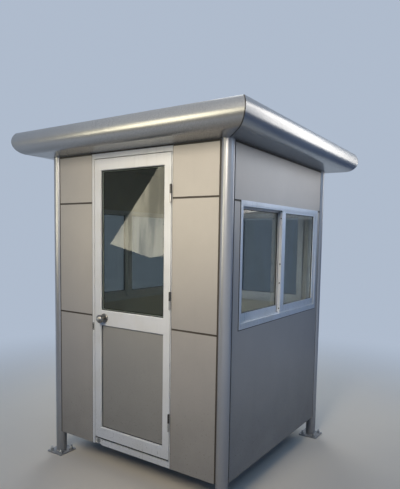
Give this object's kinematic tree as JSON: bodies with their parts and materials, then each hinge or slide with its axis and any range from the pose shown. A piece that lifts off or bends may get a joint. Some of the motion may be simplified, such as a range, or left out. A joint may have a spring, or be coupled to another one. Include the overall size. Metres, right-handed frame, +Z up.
{
  "type": "security guard booth",
  "caption": "Small square guard booth on corner posts with bolted feet, panel walls, sliding windows, a glazed hinged door and a flat roof with rounded eaves.",
  "frame": {"origin": "on the ground under the middle of the booth's plan", "axes": "+Z up, the door faces -Y, +X is to the right of a person facing the door"},
  "size_m": [1.892, 1.8918, 2.3454],
  "materials": {
    "post_steel": "satin silver paint",
    "cladding_panel": "champagne silver coated composite panel, satin",
    "roof_sheet": "satin silver coated sheet",
    "window_aluminium": "white powder coat",
    "door_aluminium": "white powder coat",
    "window_glass": "lightly grey tinted float glass",
    "door_infill": "silver-grey composite panel, satin",
    "wall_lining": "light beige lining board",
    "floor_board": "sealed board, matt",
    "base_steel": "dark primer",
    "roof_deck_sheet": "galvanised sheet",
    "hinge_steel": "dull steel",
    "knob_steel": "dull stainless steel",
    "strike_steel": "dark steel"
  },
  "bodies": {
    "cabin": {"back_cladding": "cladding_panel", "back_fascia": "roof_sheet", "back_left_post": "post_steel", "back_right_post": "post_steel", "back_wall": "wall_lining", "back_window_frame": "window_aluminium", "back_window_glass": "window_glass", "back_window_inner_sash": "window_aluminium", "back_window_outer_sash": "window_aluminium", "ceiling": "wall_lining", "door_frame": "door_aluminium", "door_sill": "door_aluminium", "floor_deck": "floor_board", "floor_frame": "base_steel", "front_cladding_left": "cladding_panel", "front_cladding_right": "cladding_panel", "front_fascia": "roof_sheet", "front_left_post": "post_steel", "front_right_post": "post_steel", "front_wall_left": "wall_lining", "front_wall_right": "wall_lining", "hinge_jamb_halves": "hinge_steel", "left_cladding": "cladding_panel", "left_fascia": "roof_sheet", "left_wall": "wall_lining", "left_window_frame": "window_aluminium", "left_window_glass": "window_glass", "left_window_inner_sash": "window_aluminium", "left_window_outer_sash": "window_aluminium", "right_cladding": "cladding_panel", "right_fascia": "roof_sheet", "right_wall": "wall_lining", "right_window_frame": "window_aluminium", "right_window_glass": "window_glass", "right_window_inner_sash": "window_aluminium", "right_window_outer_sash": "window_aluminium", "roof_deck": "roof_deck_sheet", "roof_frame": "base_steel", "strike_plate": "strike_steel"},
    "door": {"door_leaf": "door_aluminium", "door_glass": "window_glass", "door_panel": "door_infill", "hinge_leaf_halves": "hinge_steel", "knob_roses": "knob_steel"},
    "knob": {"door_knob": "knob_steel"}
  },
  "joints": [
    {"name": "door_hinge", "type": "hinge", "parent": "cabin", "child": "door", "pos_m": [0.3335, -0.7465, 1.195], "axis": [0, 0, 1], "range_deg": [0, 165]},
    {"name": "knob_turn", "type": "hinge", "parent": "door", "child": "knob", "pos_m": [-0.232, -0.738, 1.07], "axis": [0, 1, 0], "range_deg": [-50, 50], "stiffness_Nm_per_rad": 0.5}
  ]
}
